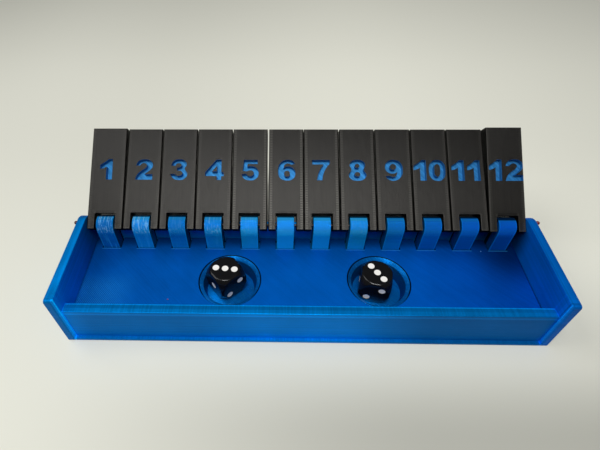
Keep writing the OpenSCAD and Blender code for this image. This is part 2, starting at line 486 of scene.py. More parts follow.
def makeFloorPrint():
    material, tree, color, shader = startMaterial("bluePrintFloor", floorLook)
    # painted shade over the floor, and its blue painted deeper to the right
    color = shadeSlowly(tree, color, "floor")
    x, y, z = splitVector(tree, readSpot(tree))
    dots = floorMarks["dots"]
    alongX, alongY = (calc(tree, "SINE", v * (math.tau / dots["pitch"])) for v in (x, y))
    field = softStep(tree, x, *dots["x"]) * (softStep(tree, y, *dots["y"]) * dots["share"])
    dotted = softStep(tree, alongX * alongY, *dots["edge"]) * field
    color = blendColor(tree, dotted, color, dots["color"])
    # painted highlight along the front edge of each post's slot in the floor
    slotHighlights = floorMarks["slotHighlights"]
    edge = (fromPostMiddle(x) < slotHighlights["reach"]) * (abs(y - slotHighlights["front"]) < slotHighlights["width"])
    color = blendColor(tree, edge * slotHighlights["share"], color, slotHighlights["color"])
    seam = floorMarks["seam"]
    color = blendColor(tree, (x > seam["from"]) * seam["share"], color, seam["color"])
    for speckX, speckY, size, speckColor in floorMarks["specks"]:
        spots = {0: stretched(tree, x, y, 0.0), 1: (speckX, speckY, 0.0)}
        away = addNode(tree, "ShaderNodeVectorMath", spots, operation="DISTANCE").outputs["Value"]
        color = blendColor(tree, Flow(tree, away) < size / 2, color, speckColor)
    plug(tree, color, shader.inputs["Base Color"])
    return material


floorPrint = makeFloorPrint()


# a cup is darkest in its seam, has painted light at the near left, painted shade on its far side, low down
# and on its steep walls, and is speckled all over; x and y are from the cup's middle, except wideX
cupMarks = {
    "seamRadius": 15.9,
    "seamSoft": 0.05,
    "seamY": (-15.0, -7.0),
    "seamColor": tint(0, 8, 30),
    "speckle": tint(60, 160, 215),
    "speckleShare": 0.4,
    "speckleGrain": (1.1, 2.0, 0.7),
    "speckleEdge": (0.58, 0.68),
    "far": {"y": (3.0, 13.0), "wideX": (-48.75, -35.1), "gain": -0.1},
    "near": {"x": (0.0, -8.0), "y": (2.0, -7.0), "gain": 0.9},
    "deep": {"z": (13.2, 6.6), "share": 0.1},
    "wall": {"upness": (0.5, 0.1), "share": 0.65},
}


def makeCupPrint():
    material, tree, color, shader = startMaterial("bluePrintCup", cupLook)
    spot = readSpot(tree)
    wideX, wideY, z = splitVector(tree, spot)
    x = wideX % (2 * board["cupX"]) - board["cupX"]
    y = wideY - board["cupY"]
    far, near, deep, wall = (cupMarks[part] for part in ("far", "near", "deep", "wall"))
    # painted light and shade by where a point lies in the cup and how steep its face is
    farSide = softStep(tree, y, *far["y"]) * softStep(tree, wideX, *far["wideX"])
    nearSide = softStep(tree, x, *near["x"]) * softStep(tree, y, *near["y"])
    gain = farSide * far["gain"] + (nearSide * near["gain"] + 1.0)
    gain = gain * (1.0 - softStep(tree, z, *deep["z"]) * deep["share"])
    steep = softStep(tree, readAttribute(tree, "upness"), *wall["upness"])
    gain = gain * (1.0 - steep * wall["share"])
    grain = softStep(tree, noise(tree, spot, *cupMarks["speckleGrain"]), *cupMarks["speckleEdge"])
    color = blendColor(tree, grain * cupMarks["speckleShare"], color, cupMarks["speckle"])
    color = scaleColor(tree, color, gain)
    radius = calc(tree, "SQRT", x**2.0 + y**2.0)
    edge, soft = cupMarks["seamRadius"], cupMarks["seamSoft"]
    seam = softStep(tree, radius, edge - soft, edge + soft) * softStep(tree, y, *cupMarks["seamY"])
    plug(tree, blendColor(tree, seam, color, cupMarks["seamColor"]), shader.inputs["Base Color"])
    return material


cupPrint = makeCupPrint()


# painted light and shade on the posts: how strongly each post is painted as lit, and how much of it is a
# painted whitish glint; z and y in mm
postPaintedLight = {
    "catch": [0.92, 1.95, 1.15, 1.6, 2.6, 3.5, 3.1, 2.6, 1.15, 0.88, 0.72, 0.6],
    "glintStreaks": [0.8, 1.0, 0.15, 0.5, 0.2, 0.0, 0.0, 0.15, 0.0, 0.0, 0.0, 0.0],
    "glintStreakShare": 0.75,
    "topZ": (25.5, 30.5),
    "top": 2.08,
    "topFade": 0.17,
    "topWhite": 0.025,
    "lowZ": (24.0, 19.0),
    "low": 0.5,
    "lowCatch": 1.1,
    "brightShare": 0.33,
    "cornerX": (3.9, 4.2),
    "corner": 0.3,
    "sideX": 4.52,
    "sideShade": 0.6,
    "backY": (25.6, 24.3),  # where the painted shadow on the back starts, on most posts and on the last one
    "backSoft": 0.3,
    "backShade": 0.94,
    # colours of the painted highlights
    "bright": tint(18, 177, 255),
    "white": tint(150, 218, 255),
    "glintStrand": tint(50, 175, 245),
}
# the painted glint streaks' texture: how fine it is across and up, and between which levels it comes in
postGlintGrain = {
    "glintStrand": {"x": 0.75, "z": 0.06, "detail": 3.0, "rough": 0.6, "edge": (0.52, 0.62)},
    "fine": {"x": 2.2, "z": 0.9, "detail": 2.0, "rough": 0.7, "edge": (0.2, 0.55)},
    "glintBlotch": {"x": 1.0, "z": 0.32, "detail": 3.0, "rough": 0.6, "edge": (0.5, 0.57)},
    "glintStrandZ": (34.0, 14.0),
    "glintBlotchZ": (26.5, 29.0),
}


def perPost(tree, x, values):  # one value for each post, held over its whole width
    ramp = addNode(tree, "ShaderNodeValToRGB")
    ramp.color_ramp.interpolation = "CONSTANT"
    stops = ramp.color_ramp.elements
    largest = max(values)
    for n, value in enumerate(values):
        stop = stops[n] if n < 2 else stops.new(n / board["tileCount"])  # a new ramp has two
        stop.position = n / board["tileCount"]
        stop.color = (value / largest, value / largest, value / largest, 1.0)
    plug(tree, x * (1 / (board["tileCount"] * board["pitch"])) + 0.5, ramp.inputs["Fac"])
    return Flow(tree, ramp.outputs["Color"]) * largest


def makePostPrint():
    material, tree, color, shader = startMaterial("bluePrintPost", postLook)
    x, y, z = splitVector(tree, readSpot(tree))

    # the noise texture of one kind of painted glint
    def grain(name):
        rule = postGlintGrain[name]
        spots = stretched(tree, x * rule["x"], 0.0, z * rule["z"])
        return softStep(tree, noise(tree, spots, 1.0, rule["detail"], rule["rough"]), *rule["edge"])

    # painted light: a highlight over each post's round top, brighter lower parts and bright corners,
    # scaled by how strongly each post is lit
    top = softStep(tree, z, *postPaintedLight["topZ"])
    catch = perPost(tree, x, postPaintedLight["catch"])
    gain = catch * blendValue(tree, top, 1.0, postPaintedLight["top"] - catch * postPaintedLight["topFade"])
    low = softStep(tree, z, *postPaintedLight["lowZ"]) * (catch > postPaintedLight["lowCatch"])
    gain = low * postPaintedLight["low"] + gain
    brighter = calc(tree, "MAXIMUM", gain - 1.0, 0.0) * postPaintedLight["brightShare"]
    lit = blendColor(tree, brighter, color, postPaintedLight["bright"])
    lit = scaleColor(tree, lit, calc(tree, "MINIMUM", gain, 1.0))
    lit = blendColor(tree, top * (catch * postPaintedLight["topWhite"]), lit, postPaintedLight["white"])
    # painted glint streaks and blotches on some posts
    glintStrand = grain("glintStrand") * softStep(tree, z, *postGlintGrain["glintStrandZ"])
    glintBlotch = grain("glintBlotch") * softStep(tree, z, *postGlintGrain["glintBlotchZ"])
    amount = grain("fine") * (perPost(tree, x, postPaintedLight["glintStreaks"]) * postPaintedLight["glintStreakShare"])
    lit = blendColor(tree, glintStrand * amount, lit, postPaintedLight["glintStrand"])
    lit = blendColor(tree, glintBlotch * amount, lit, postPaintedLight["white"])
    fromMiddle = fromPostMiddle(x)
    onSide = fromMiddle > postPaintedLight["sideX"]
    corner = softStep(tree, fromMiddle, *postPaintedLight["cornerX"]) * (1.0 - onSide)
    lit = blendColor(tree, corner * postPaintedLight["corner"], lit, postPaintedLight["bright"])
    # painted shade on the post's sides
    lit = scaleColor(tree, lit, 1.0 - onSide * postPaintedLight["sideShade"])
    # painted shadow on the back of each post, under its tile
    onLast = x > (board["tileCount"] / 2 - 1) * board["pitch"]
    pastEdge = y - blendValue(tree, onLast, *postPaintedLight["backY"])
    behind = softStep(tree, pastEdge, -postPaintedLight["backSoft"], postPaintedLight["backSoft"])
    plug(tree, blendValue(tree, behind, postLook["roughness"], 1.0), shader.inputs["Roughness"])
    lit = scaleColor(tree, lit, 1.0 - behind * postPaintedLight["backShade"])
    plug(tree, deeperRight(tree, lit, paintedShadeBlue["post"]), shader.inputs["Base Color"])
    return material


postPrint = makePostPrint()
pocketPrint = startMaterial("bluePrintPocket", pocketLook)[0]


def makeEdgeLoops():  # the drawn loops just inside the outline of a number face
    number = "NodeSocketFloat"
    tree, entry, gives = newGroup(
        "ShaderNodeTree",
        "edgeLoops",
        [
            ("Spot", "NodeSocketVector", None),
            ("Half Width", number, board["tileHalf"]),
            ("Tip", number, 53.2),
            ("Ear", number, 3.1),
            ("Slot Half", number, 5.05),
            ("Slot End", number, 5.6),
            ("Loop Width", number, 0.45),
            ("Loop Count", number, 2.0),
            ("Side Fade", number, 10.0),
        ],
        [("Loops", number), ("Slot Gap", number)],
    )
    x, y, z = splitVector(tree, entry["Spot"])
    x = abs(x)
    ends = calc(tree, "MINIMUM", entry["Tip"] - y, y + entry["Ear"])
    besideSlot = calc(tree, "MAXIMUM", x - entry["Slot Half"], 0.0)
    pastSlot = calc(tree, "MAXIMUM", y - entry["Slot End"], 0.0)
    slot = calc(tree, "SQRT", besideSlot**2.0 + pastSlot**2.0)
    outline = calc(tree, "MINIMUM", entry["Half Width"] - x, ends)
    loop = calc(tree, "MINIMUM", outline, slot) / entry["Loop Width"]
    wave = calc(tree, "SINE", calc(tree, "FRACT", loop) * math.pi)
    plug(tree, wave * (loop < entry["Loop Count"]), gives["Loops"])
    plug(tree, besideSlot * entry["Side Fade"] + slot, gives["Slot Gap"])
    return tree


# drawn loops and ticks on a number face, and painted shade at the end of its slot; band and slotEdge in mm
tileMarks = {
    "loopShare": 0.22,
    "loopColor": tint(86, 84, 79),
    "band": [(0.3, 0.6), (1.9, 1.5)],
    "tickPitch": 0.95,
    "tickEdge": (0.1, 0.5),
    "tickShare": 0.4,
    "tickColor": tint(150, 148, 140),
    "slotEdge": (1.5, 1.0),
    "slotShade": 0.92,
}


def makeTilePrint():
    material, tree, color, shader = startMaterial("blackPrintTile", tileLook)
    spot = readSpot(tree)
    group = addNode(tree, "ShaderNodeGroup", node_tree=makeEdgeLoops())
    plug(tree, spot, group.inputs["Spot"])
    loops = flowsFrom(tree, group)
    color = blendColor(tree, loops["Loops"] * tileMarks["loopShare"], color, tileMarks["loopColor"])
    x, y, z = splitVector(tree, spot)
    inward = board["tileHalf"] - abs(x)
    outer, inner = (softStep(tree, inward, *edge) for edge in tileMarks["band"])
    tickWave = calc(tree, "SINE", y * (math.tau / tileMarks["tickPitch"]))
    tick = (outer * inner) * softStep(tree, tickWave, *tileMarks["tickEdge"])
    tick = tick * (readAttribute(tree, "ticks") * tileMarks["tickShare"])
    color = blendColor(tree, tick, color, tileMarks["tickColor"])
    # painted shade, darker towards the tile's top
    color = scaleColor(tree, color, slowShade(tree, spot, paintedShading["tile"]))
    # painted shade on the face next to the end of the slot
    slotShade = softStep(tree, loops["Slot Gap"], *tileMarks["slotEdge"]) * tileMarks["slotShade"]
    plug(tree, scaleColor(tree, color, 1.0 - slotShade), shader.inputs["Base Color"])
    return material


tilePrint = makeTilePrint()
# a darker, less glossy copy of the tile print for the sides: painted shade
tileShadedSidePrint = startMaterial("blackPrintShadedSide", tileLook | {"color": tint(7, 7, 7), "gloss": 0.03})[0]


rodLook = {
    "dark": tint(84, 14, 16),
    "light": tint(150, 40, 44),
    "cloud": (900.0, 3.0),
    "roughness": 0.35,
    "ridge": 0.05,
}


def makeRodRed():
    material, tree, shader = newMaterial("redRod")
    cloud = noise(tree, readPlace(tree), *rodLook["cloud"])
    color = blendColor(tree, cloud, rodLook["dark"], rodLook["light"])
    # painted shade on the rod's hidden middle and on its left end
    paintedRodShade = slowShade(tree, scaleColor(tree, readPlace(tree), 1 / mm), paintedShading["rod"])
    plug(tree, scaleColor(tree, color, paintedRodShade), shader.inputs["Base Color"])
    shader.inputs["Roughness"].default_value = rodLook["roughness"]
    addBump(tree, shader, cloud, rodLook["ridge"])
    return material


rodRed = makeRodRed()


dieLook = {
    "black": (tint(4, 4, 5), tint(15, 15, 17)),
    "white": (tint(232, 230, 224), tint(252, 250, 245)),
    "pipEdge": (-0.1, 0.1),
    "cloud": (400.0, 4.0),
    "roughness": (0.22, 0.5),  # of the body and of the pips
    "gloss": 0.4,
    "ridge": 0.015,
}


def makeDieMaterial():
    material, tree, shader = newMaterial("diePlastic")
    pipGap = readAttribute(tree, "pipGap")  # mm outside the nearest pip's edge
    inPip = 1.0 - softStep(tree, pipGap, *dieLook["pipEdge"])
    cloud = noise(tree, readPlace(tree), *dieLook["cloud"])
    black, white = (blendColor(tree, cloud, *dieLook[part]) for part in ("black", "white"))
    plug(tree, blendColor(tree, inPip, black, white), shader.inputs["Base Color"])
    plug(tree, blendValue(tree, inPip, *dieLook["roughness"]), shader.inputs["Roughness"])
    shader.inputs["Specular IOR Level"].default_value = dieLook["gloss"]
    addBump(tree, shader, cloud, dieLook["ridge"])
    return material


diePlastic = makeDieMaterial()
print("materials made")


def addObject(name, mesh):
    made = bpy.data.objects.new(name, mesh)
    bpy.context.collection.objects.link(made)
    return made


def cleanCopy(nodeName, toLocal=None):  # a merged copy of a solid's mesh, flat faces whole again
    shape = bmesh.new()
    shape.from_mesh(nodes[nodeName].data)
    if toLocal is not None:
        shape.transform(toLocal)
    bmesh.ops.remove_doubles(shape, verts=shape.verts, dist=1e-6)
    bmesh.ops.dissolve_limit(shape, angle_limit=math.radians(0.5), verts=shape.verts, edges=shape.edges)
    bmesh.ops.recalc_face_normals(shape, faces=shape.faces)
    if shape.calc_volume(signed=True) < 0:
        bmesh.ops.reverse_faces(shape, faces=shape.faces)
    return shape


def toMesh(shape, mesh):
    shape.to_mesh(mesh)
    shape.free()
    return mesh


def finishMesh(made, modifiers):  # applies a piece's modifiers and leaves a plain mesh
    for kind, settings in modifiers:
        modifier = made.modifiers.new(kind.lower(), kind)
        for key, value in settings.items():
            setattr(modifier, key, value)
    bpy.context.view_layer.update()
    plain = bpy.data.meshes.new_from_object(made.evaluated_get(bpy.context.evaluated_depsgraph_get()))
    made.modifiers.clear()
    old = made.data
    made.data = plain
    bpy.data.meshes.remove(old)


# edges that turn by less than smoothAngle are shaded smooth, and faces square to the piece stay flat
edgeRule = {"segments": 2, "smoothAngle": 16, "square": 0.9995}


def softenEdges(made, sharpEdge, width, **more):  # bevels the edges that sharpEdge picks, width in mm
    shape = bmesh.new()
    shape.from_mesh(made.data)
    weight = shape.edges.layers.float.new("bevel_weight_edge")
    for edge in shape.edges:
        edge[weight] = 1.0 if len(edge.link_faces) == 2 and sharpEdge(edge) else 0.0
    toMesh(shape, made.data)
    bevel = {"width": width * mm, "segments": edgeRule["segments"], "limit_method": "WEIGHT"}
    finishMesh(made, [("BEVEL", bevel | {"use_clamp_overlap": False} | more)])
    made.data.shade_smooth()
    made.data.set_sharp_from_angle(angle=math.radians(edgeRule["smoothAngle"]))
    for face in made.data.polygons:
        if max(abs(v) for v in face.normal) > edgeRule["square"]:
            face.use_smooth = False


def setMaterial(mesh, material):
    mesh.materials.clear()
    mesh.materials.append(material)


def markSpots(mesh, toPlace=None):  # spot in mm and upness in the frame it was printed in, then into place
    spot = mesh.attributes.new("spot", "FLOAT_VECTOR", "POINT")
    flat = [0.0] * (3 * len(mesh.vertices))
    mesh.vertices.foreach_get("co", flat)
    spot.data.foreach_set("vector", [v / mm for v in flat])
    upness = mesh.attributes.new("upness", "FLOAT", "FACE")
    upness.data.foreach_set("value", [abs(p.normal.z) for p in mesh.polygons])
    if toPlace is not None:
        mesh.transform(toPlace)
    mesh.update()


def settle(made, body, stoodFor):
    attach(made, body)
    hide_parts(stoodFor)


# how the tray, the floor, the cups and the rod differ from their solids: bevels on outer edges that
# turn by more than angle degrees and are longer than shortest, and two nudges; all else in mm
softening = {
    "tray_shell": {"width": 0.35, "angle": 30, "shortest": 1.2},
    "floor_plate": {"width": 0.12, "angle": 30, "shortest": 1.0},
    "dice_cup_left": {"width": 0.1, "angle": 30, "shortest": 0.0},
    "dice_cup_right": {"width": 0.1, "angle": 30, "shortest": 0.0},
    "hinge_pin": {"width": 0.03, "angle": 60, "shortest": 0.0},
    "profile": 0.55,
    "frontFace": {"y": -23.2, "near": 0.1, "above": 17.0, "fuller": 0.7},
    "rodEnd": {"x": 122.9, "shorter": 0.8},
}


def fullerFront(spot):  # the front wall's inner face stands a little further in above the floor
    face = softening["frontFace"]
    if abs(spot.y - face["y"] * mm) < face["near"] * mm and spot.z > face["above"] * mm:
        spot.y += face["fuller"] * mm


def shorterEnds(spot):  # the melted ends stand out a little less
    if abs(spot.x) > softening["rodEnd"]["x"] * mm:
        spot.x -= math.copysign(softening["rodEnd"]["shorter"] * mm, spot.x)


def softenedPiece(nodeName, pieceName, material, nudge=None):
    rule = softening[nodeName]
    shape = cleanCopy(nodeName)
    if nudge:
        for vert in shape.verts:
            nudge(vert.co)
    made = addObject(pieceName, toMesh(shape, bpy.data.meshes.new(pieceName)))

    def sharpEdge(edge):
        turned = edge.calc_face_angle(0) > math.radians(rule["angle"])
        return edge.is_convex and turned and edge.calc_length() > rule["shortest"] * mm

    softenEdges(made, sharpEdge, rule["width"], profile=softening["profile"])
    markSpots(made.data)
    setMaterial(made.data, material)
    settle(made, "tray", nodeName)


softenedPiece("tray_shell", "trayBody", trayPrint, fullerFront)
softenedPiece("floor_plate", "rollingFloor", floorPrint)
softenedPiece("dice_cup_left", "cupLeft", cupPrint)
softenedPiece("dice_cup_right", "cupRight", cupPrint)
softenedPiece("hinge_pin", "rod", rodRed, shorterEnds)
print("tray, floor, cups and rod made")


# hinge posts, stacked from layers by Geometry Nodes
postShape = {
    "Posts": board["tileCount"],
    "Pitch": board["pitch"] * mm,
    "Width": 9.1 * mm,
    "Layer": 0.3 * mm,
    "Low": 12.8 * mm,
    "Radius": 4.9 * mm,
    "Pin Y": board["pinY"] * mm,
    "Pin Z": board["pinZ"] * mm,
    "Back": 26.85 * mm,
    "Bulge": 0.02 * mm,
    "Rim": 0.016,  # how much of its size a layer's rim is set in
}


def makePostTree():
    sizes = [
        (label, "NodeSocketInt" if isinstance(value, int) else "NodeSocketFloat", value)
        for label, value in postShape.items()
    ]
    tree, entry, gives = newGroup(
        "GeometryNodeTree",
        "layeredPosts",
        [("Geometry", "NodeSocketGeometry", None), *sizes, ("Print", "NodeSocketMaterial", None)],
        [("Geometry", "NodeSocketGeometry")],
    )

    def grow(kind, inputs=None, **settings):  # a node's first output
        return Flow(tree, addNode(tree, kind, inputs, **settings).outputs[0])

    # one stack: a point for each layer, from the floor plate up to the round top
    top = entry["Pin Z"] + entry["Radius"]
    layers = calc(tree, "FLOOR", (top - entry["Low"]) / entry["Layer"])
    start = stretched(tree, 0.0, 0.0, top - (layers - 0.5) * entry["Layer"])
    step = stretched(tree, 0.0, 0.0, entry["Layer"])
    stack = grow("GeometryNodeMeshLine", {"Count": layers, "Start Location": start, "Offset": step})

    # how deep each layer is: square below the rod, round above it
    rise = splitVector(tree, grow("GeometryNodeInputPosition"))[2] - entry["Pin Z"]
    squared = calc(tree, "MAXIMUM", entry["Radius"] ** 2.0 - abs(rise) ** 2.0, 1e-9)
    chord = calc(tree, "SQRT", squared)
    over = rise > 0.0
    front = entry["Pin Y"] - blendValue(tree, over, entry["Radius"], chord)
    roundBack = entry["Pin Y"] + chord
    squareBack = calc(tree, "MAXIMUM", entry["Back"], roundBack)
    back = blendValue(tree, over, squareBack, roundBack)
    wobble = addNode(tree, "FunctionNodeRandomValue", {"Seed": 7}, data_type="FLOAT")
    lowest, highest = [s for s in wobble.inputs if s.type == "VALUE"][:2]
    lowest.default_value, highest.default_value = -1.0, 1.0
    jitter = Flow(tree, [s for s in wobble.outputs if s.type == "VALUE"][0]) * entry["Bulge"]
    size = stretched(tree, entry["Width"], back - front + jitter, entry["Layer"])

    # the size is worked out on the line, so it is kept there before the points move
    kept = addNode(tree, "GeometryNodeCaptureAttribute")
    kept.capture_items.new("VECTOR", "size")
    plug(tree, stack, kept.inputs["Geometry"])
    plug(tree, size, kept.inputs["size"])
    line, size = (Flow(tree, kept.outputs[label]) for label in ("Geometry", "size"))
    middle = stretched(tree, 0.0, (front + back) * 0.5, 0.0)
    points = grow("GeometryNodeSetPosition", {"Geometry": line, "Offset": middle})

    # one layer: a slab whose rim is slightly rounded, unit sized
    counts = {"Vertices X": 2, "Vertices Y": 2, "Vertices Z": 4}
    slab = grow("GeometryNodeMeshCube", {"Size": (1.0, 1.0, 1.0)} | counts)
    x, y, z = splitVector(tree, grow("GeometryNodeInputPosition"))
    inset = (abs(z) > 0.4) * (0.0 - entry["Rim"])
    pinch = stretched(tree, x * inset, y * inset, 0.0)
    slab = grow("GeometryNodeSetPosition", {"Geometry": slab, "Offset": pinch})
    laid = grow("GeometryNodeInstanceOnPoints", {"Points": points, "Instance": slab, "Scale": size})
    post = grow("GeometryNodeRealizeInstances", {0: laid})

    # twelve stacks in a row
    start = stretched(tree, (entry["Posts"] - 1.0) * -0.5 * entry["Pitch"], 0.0, 0.0)
    step = stretched(tree, entry["Pitch"], 0.0, 0.0)
    row = grow("GeometryNodeMeshLine", {"Count": entry["Posts"], "Start Location": start, "Offset": step})
    posts = grow("GeometryNodeInstanceOnPoints", {"Points": row, "Instance": post})
    whole = grow("GeometryNodeRealizeInstances", {0: posts})
    painted = grow("GeometryNodeSetMaterial", {"Geometry": whole, "Material": entry["Print"]})
    plug(tree, painted, gives["Geometry"])
    return tree


def makePostRow():
    made = addObject("hingePosts", bpy.data.meshes.new("hingePosts"))
    modifier = made.modifiers.new("layers", "NODES")
    modifier.node_group = makePostTree()
    given = postShape | {"Print": postPrint}
    for item in modifier.node_group.interface.items_tree:
        if item.item_type == "SOCKET" and item.in_out == "INPUT" and item.name in given:
            modifier[item.identifier] = given[item.name]
    finishMesh(made, [])

    # the rail under the floor that carries the posts
    low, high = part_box("hinge_rail")
    railLow = Vector((low.x, postShape["Pin Y"] - postShape["Radius"], low.z))
    railHigh = Vector((high.x, postShape["Back"], postShape["Low"]))
    shape = bmesh.new()
    shape.from_mesh(made.data)
    for vert in bmesh.ops.create_cube(shape, size=1.0)["verts"]:
        vert.co = (railLow + railHigh) / 2 + Vector([c * s for c, s in zip(vert.co, railHigh - railLow)])
    toMesh(shape, made.data)
    setMaterial(made.data, postPrint)
    for face in made.data.polygons:
        face.material_index = 0
    markSpots(made.data)
    settle(made, "tray", "hinge_rail")
    return made


hingePosts = makePostRow()
print("posts made:", len(hingePosts.data.polygons), "faces")


# digits: closed outlines in mm, y up from the baseline, c a corner and s a smooth point
digitShapes = {
    "1": [
        [
            (-0.8, 0, "c"), (2.5, 0, "c"), (2.5, 11.5, "c"), (0.1, 11.5, "c"), (-0.9, 10.5, "s"),
            (-2.5, 9.4, "s"), (-4.35, 8.2, "c"), (-4.25, 5.82, "c"), (-2.5, 6.3, "s"), (-0.8, 7.2, "c"),
        ],
    ],
    "2": [
        [
            (-4.5, 0, "c"), (5.0, 0, "c"), (5.0, 3.1, "c"), (0.6, 3.1, "c"), (2.4, 4.5, "s"),
            (4.3, 6.3, "s"), (5.05, 8.5, "s"), (3.7, 10.7, "s"), (0.3, 11.55, "s"), (-3.0, 10.6, "s"),
            (-4.35, 8.0, "c"), (-2.2, 8.0, "c"), (-1.2, 9.1, "s"), (0.3, 9.4, "s"), (1.6, 8.5, "s"),
            (1.3, 7.0, "s"), (-1.2, 5.1, "s"), (-3.4, 2.9, "s"),
        ],
    ],
    "3": [
        [
            (-4.8, 3.3, "c"), (-2.2, 3.3, "c"), (-1.4, 2.5, "s"), (0.0, 2.2, "s"), (1.9, 3.4, "s"),
            (1.4, 4.8, "s"), (-0.1, 5.2, "s"), (-1.1, 5.2, "c"), (-1.1, 6.9, "c"), (0.3, 7.1, "s"),
            (1.3, 8.1, "s"), (0.9, 9.1, "s"), (-0.3, 9.4, "s"), (-1.6, 8.9, "s"), (-2.0, 8.0, "c"),
            (-4.35, 8.0, "c"), (-3.0, 10.8, "s"), (0.0, 11.6, "s"), (3.0, 10.9, "s"), (4.2, 8.7, "s"),
            (3.1, 6.2, "s"), (4.7, 3.5, "s"), (3.3, 0.7, "s"), (0.2, -0.15, "s"), (-3.2, 0.9, "s"),
        ],
    ],
    "4": [
        [
            (1.3, 0, "c"), (3.8, 0, "c"), (3.8, 2.1, "c"), (5.2, 2.2, "c"), (5.2, 4.3, "c"),
            (3.8, 4.3, "c"), (3.8, 11.5, "c"), (1.0, 11.5, "c"), (-5.05, 4.3, "c"), (-5.05, 2.2, "c"),
            (1.3, 2.15, "c"),
        ],
        [
            (-1.3, 4.8, "c"), (1.35, 4.8, "c"), (1.35, 7.95, "c"),
        ],
    ],
    "5": [
        [
            (-3.3, 11.35, "c"), (4.2, 11.35, "c"), (4.2, 9.1, "c"), (-1.3, 9.1, "c"), (-1.55, 7.5, "c"),
            (0.4, 7.8, "s"), (3.3, 6.9, "s"), (4.75, 3.9, "s"), (3.4, 0.8, "s"), (0.1, -0.2, "s"),
            (-3.2, 0.8, "s"), (-4.6, 3.2, "c"), (-1.9, 3.5, "c"), (-1.2, 2.5, "s"), (0.2, 2.1, "s"),
            (1.9, 3.0, "s"), (1.9, 4.7, "s"), (0.2, 5.5, "s"), (-1.7, 4.9, "c"), (-4.0, 5.1, "c"),
        ],
    ],
    "6": [
        [
            (4.75, 9.2, "c"), (2.6, 8.7, "c"), (1.8, 9.3, "s"), (0.4, 9.4, "s"), (-1.1, 8.3, "s"),
            (-1.55, 6.9, "c"), (0.6, 7.7, "s"), (3.8, 6.6, "s"), (5.0, 3.7, "s"), (3.7, 0.8, "s"),
            (0.4, -0.2, "s"), (-3.2, 1.1, "s"), (-4.45, 5.4, "s"), (-3.2, 9.7, "s"), (0.5, 11.45, "s"),
            (3.4, 10.8, "s"),
        ],
        [
            (0.45, 1.9, "s"), (-1.2, 3.7, "s"), (0.45, 5.35, "s"), (2.0, 3.7, "s"),
        ],
    ],
    "7": [
        [
            (-5.05, 11.4, "c"), (4.55, 11.4, "c"), (4.55, 9.4, "c"), (2.9, 7.5, "s"), (1.1, 3.9, "s"),
            (0.4, 0, "c"), (-2.6, 0, "c"), (-1.8, 3.6, "s"), (-0.4, 6.7, "s"), (1.1, 8.9, "c"),
            (-5.05, 8.9, "c"),
        ],
    ],
    "8": [
        [
            (0.0, -0.2, "s"), (-3.4, 0.6, "s"), (-4.8, 3.1, "s"), (-3.3, 5.9, "s"), (-4.3, 8.7, "s"),
            (-3.0, 10.8, "s"), (-0.2, 11.5, "s"), (2.9, 10.8, "s"), (4.1, 8.6, "s"), (3.3, 5.9, "s"),
            (4.7, 3.1, "s"), (3.4, 0.7, "s"),
        ],
        [
            (-0.1, 2.1, "s"), (-1.65, 3.4, "s"), (-0.1, 4.7, "s"), (1.4, 3.4, "s"),
        ],
        [
            (-0.2, 7.0, "s"), (-1.45, 8.15, "s"), (-0.2, 9.3, "s"), (1.0, 8.15, "s"),
        ],
    ],
    "9": [
        [
            (-4.6, 2.4, "c"), (-2.0, 2.5, "c"), (-1.2, 2.1, "s"), (0.0, 2.0, "s"), (1.4, 3.0, "s"),
            (1.9, 4.7, "c"), (-0.6, 3.8, "s"), (-3.6, 4.9, "s"), (-4.7, 7.7, "s"), (-3.4, 10.5, "s"),
            (0.0, 11.55, "s"), (3.5, 10.2, "s"), (4.85, 6.2, "s"), (3.7, 1.9, "s"), (0.0, -0.15, "s"),
            (-3.2, 0.7, "s"),
        ],
        [
            (-0.4, 6.0, "s"), (-2.0, 7.7, "s"), (-0.4, 9.3, "s"), (1.35, 7.7, "s"),
        ],
    ],
    "0": [
        [
            (0.0, -0.15, "s"), (-3.2, 1.2, "s"), (-4.5, 5.7, "s"), (-3.2, 10.2, "s"), (0.0, 11.55, "s"),
            (3.1, 10.4, "s"), (4.35, 5.7, "s"), (3.1, 1.1, "s"),
        ],
        [
            (0.0, 2.2, "s"), (-1.35, 3.3, "s"), (-1.55, 5.7, "s"), (-1.3, 8.2, "s"), (0.0, 9.3, "s"),
            (1.3, 8.2, "s"), (1.55, 5.7, "s"), (1.3, 3.3, "s"),
        ],
    ],
}
tileFace = {
    "halfThick": 4.75,
    "baseline": 24.0,
    "pocketDepth": 2.9,
    "past": 0.5,  # how far a digit's cutter runs past the face
    "curveSteps": 5,
    "edge": 0.16,
    "edgeAngle": 25,  # sharper edges than this are softened
    "sideSlope": 0.6,  # faces whose normals rise less than this are sides
    "underSlope": (-0.3, 0.8),  # and so are faces towards the ears that rise less than the second
    "slotSide": 6.0,  # points nearer the tile's middle than this are the slot's
    "slotEndY": (5.0, 6.5),
    "wider": 0.22,
    "slotCloser": 0.3,
    "slotEndCloser": {1: 0.35, 12: 0.45},
}
# which digits each tile has, with how far each is moved across
tileDigits = {n: [(str(n), 0.0)] for n in range(1, 10)}
tileDigits[10] = [("1", -4.55), ("0", 3.85)]
tileDigits[11] = [("1", -3.75), ("1", 4.7)]
tileDigits[12] = [("1", -4.45), ("2", 4.35)]
# how clearly the ends of the print lines show as ticks beside a tile's long edges
tileTicks = {4: 0.3, 5: 0.8, 6: 1.0, 7: 0.9, 8: 0.6, 9: 0.4, 10: 0.3}
otherTicks = 0.15


